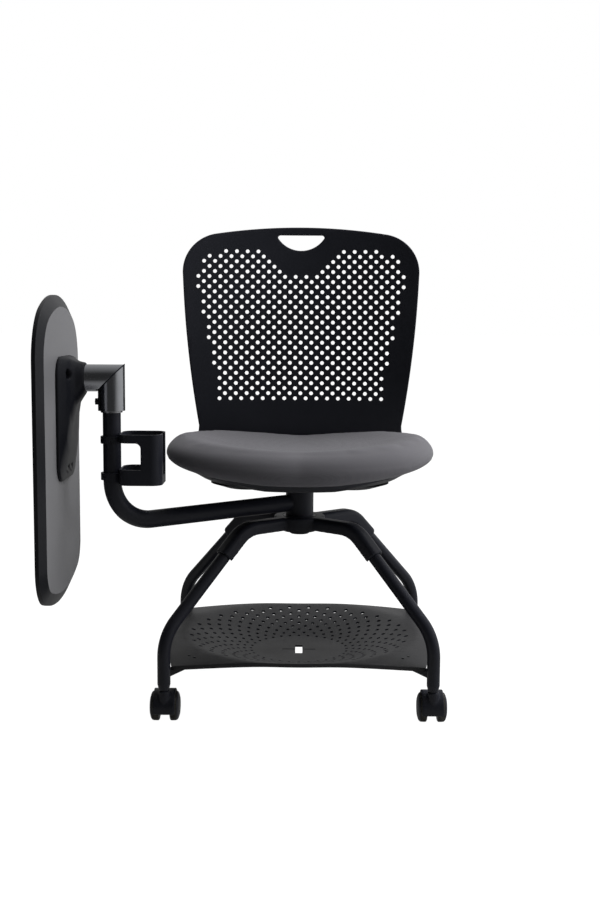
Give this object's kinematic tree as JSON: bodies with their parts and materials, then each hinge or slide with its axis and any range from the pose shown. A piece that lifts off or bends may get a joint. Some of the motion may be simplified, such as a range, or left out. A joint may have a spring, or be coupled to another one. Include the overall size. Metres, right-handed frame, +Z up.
{
  "type": "training chair with flip-over writing tablet",
  "caption": "Rolling training chair: perforated back, padded seat, swivel column, bag tray on bent tube legs and a flip-over writing tablet with cup holder.",
  "frame": {"origin": "on the floor under the swivel column", "axes": "+Z up, the sitter faces -Y, +X to the right for someone facing the chair's front; the writing arm is on the -X side"},
  "size_m": [0.6585, 0.601, 0.857],
  "materials": {
    "frame_paint": "satin black powder coat",
    "bracket_paint": "fine matt black powder coat on cast metal",
    "tray_paint": "matt charcoal powder coat",
    "shell_plastic": "satin moulded black polypropylene",
    "black_plastic": "matt moulded black nylon",
    "caster_plastic": "satin moulded black nylon",
    "wheel_nylon": "moulded black nylon with a worn tread",
    "seat_fabric": "mid-grey woven upholstery",
    "elbow_chrome": "dark polished chrome",
    "bare_steel": "zinc-plated steel",
    "black_screws": "blackened steel",
    "tablet_film": "fibreboard wrapped in mid-grey matt film"
  },
  "bodies": {
    "base": {"hub_cover": "frame_paint", "hub_socket": "frame_paint", "swivel_spindle": "bare_steel", "spindle_cap": "black_plastic", "thrust_washer": "black_plastic", "caster_sockets": "caster_plastic", "tray": "tray_paint", "tray_screws": "black_screws", "front_left_leg": "frame_paint", "front_right_leg": "frame_paint", "rear_left_leg": "frame_paint", "rear_right_leg": "frame_paint", "front_left_tray_bracket": "frame_paint", "front_right_tray_bracket": "frame_paint", "rear_left_tray_bracket": "frame_paint", "rear_right_tray_bracket": "frame_paint"},
    "front_left_caster": {"front_left_caster_hood": "caster_plastic", "front_left_caster_stem": "bare_steel", "front_left_caster_axle": "bare_steel"},
    "front_left_left_wheel": {"front_left_left_wheel": "wheel_nylon"},
    "front_left_right_wheel": {"front_left_right_wheel": "wheel_nylon"},
    "front_right_caster": {"front_right_caster_hood": "caster_plastic", "front_right_caster_stem": "bare_steel", "front_right_caster_axle": "bare_steel"},
    "front_right_left_wheel": {"front_right_left_wheel": "wheel_nylon"},
    "front_right_right_wheel": {"front_right_right_wheel": "wheel_nylon"},
    "rear_left_caster": {"rear_left_caster_hood": "caster_plastic", "rear_left_caster_stem": "bare_steel", "rear_left_caster_axle": "bare_steel"},
    "rear_left_left_wheel": {"rear_left_left_wheel": "wheel_nylon"},
    "rear_left_right_wheel": {"rear_left_right_wheel": "wheel_nylon"},
    "rear_right_caster": {"rear_right_caster_hood": "caster_plastic", "rear_right_caster_stem": "bare_steel", "rear_right_caster_axle": "bare_steel"},
    "rear_right_left_wheel": {"rear_right_left_wheel": "wheel_nylon"},
    "rear_right_right_wheel": {"rear_right_right_wheel": "wheel_nylon"},
    "seat": {"swivel_sleeve": "frame_paint", "arm_tube": "frame_paint", "seat_plate": "frame_paint", "seat_plate_screws": "bare_steel", "underseat_cover": "black_plastic", "seat_pad": "seat_fabric", "seat_shell": "shell_plastic", "back_shell": "shell_plastic", "back_screws": "black_screws", "cup_holder": "black_plastic", "post_bush": "bare_steel"},
    "elbow": {"elbow_lower": "elbow_chrome", "clamp_bolt": "bare_steel"},
    "tablet": {"mitre_washer": "black_plastic", "mitre_pin": "bare_steel", "elbow_upper": "elbow_chrome", "tablet_bracket": "bracket_paint", "bracket_screws": "black_screws", "tablet": "tablet_film"}
  },
  "joints": [
    {"name": "front_left_caster_swivel", "type": "hinge", "parent": "base", "child": "front_left_caster", "pos_m": [-0.226, -0.195, 0.06], "axis": [0, 0, 1], "continuous": true},
    {"name": "front_left_left_wheel_spin", "type": "hinge", "parent": "front_left_caster", "child": "front_left_left_wheel", "pos_m": [-0.226, -0.177, 0.025], "axis": [1, 0, 0], "continuous": true},
    {"name": "front_left_right_wheel_spin", "type": "hinge", "parent": "front_left_caster", "child": "front_left_right_wheel", "pos_m": [-0.226, -0.177, 0.025], "axis": [1, 0, 0], "continuous": true},
    {"name": "front_right_caster_swivel", "type": "hinge", "parent": "base", "child": "front_right_caster", "pos_m": [0.226, -0.195, 0.06], "axis": [0, 0, 1], "continuous": true},
    {"name": "front_right_left_wheel_spin", "type": "hinge", "parent": "front_right_caster", "child": "front_right_left_wheel", "pos_m": [0.226, -0.177, 0.025], "axis": [1, 0, 0], "continuous": true},
    {"name": "front_right_right_wheel_spin", "type": "hinge", "parent": "front_right_caster", "child": "front_right_right_wheel", "pos_m": [0.226, -0.177, 0.025], "axis": [1, 0, 0], "continuous": true},
    {"name": "rear_left_caster_swivel", "type": "hinge", "parent": "base", "child": "rear_left_caster", "pos_m": [-0.226, 0.195, 0.06], "axis": [0, 0, 1], "continuous": true},
    {"name": "rear_left_left_wheel_spin", "type": "hinge", "parent": "rear_left_caster", "child": "rear_left_left_wheel", "pos_m": [-0.226, 0.213, 0.025], "axis": [1, 0, 0], "continuous": true},
    {"name": "rear_left_right_wheel_spin", "type": "hinge", "parent": "rear_left_caster", "child": "rear_left_right_wheel", "pos_m": [-0.226, 0.213, 0.025], "axis": [1, 0, 0], "continuous": true},
    {"name": "rear_right_caster_swivel", "type": "hinge", "parent": "base", "child": "rear_right_caster", "pos_m": [0.226, 0.195, 0.06], "axis": [0, 0, 1], "continuous": true},
    {"name": "rear_right_left_wheel_spin", "type": "hinge", "parent": "rear_right_caster", "child": "rear_right_left_wheel", "pos_m": [0.226, 0.213, 0.025], "axis": [1, 0, 0], "continuous": true},
    {"name": "rear_right_right_wheel_spin", "type": "hinge", "parent": "rear_right_caster", "child": "rear_right_right_wheel", "pos_m": [0.226, 0.213, 0.025], "axis": [1, 0, 0], "continuous": true},
    {"name": "seat_swivel", "type": "hinge", "parent": "base", "child": "seat", "pos_m": [0, 0, 0.35], "axis": [0, 0, 1], "continuous": true},
    {"name": "tablet_turn", "type": "hinge", "parent": "seat", "child": "elbow", "pos_m": [-0.3135, -0.163, 0.54], "axis": [0, 0, 1], "range_deg": [-25, 35]},
    {"name": "tablet_flip", "type": "hinge", "parent": "elbow", "child": "tablet", "pos_m": [-0.3135, -0.163, 0.579], "axis": [-0.7071, 0, 0.7071], "range_deg": [0, 180]}
  ]
}
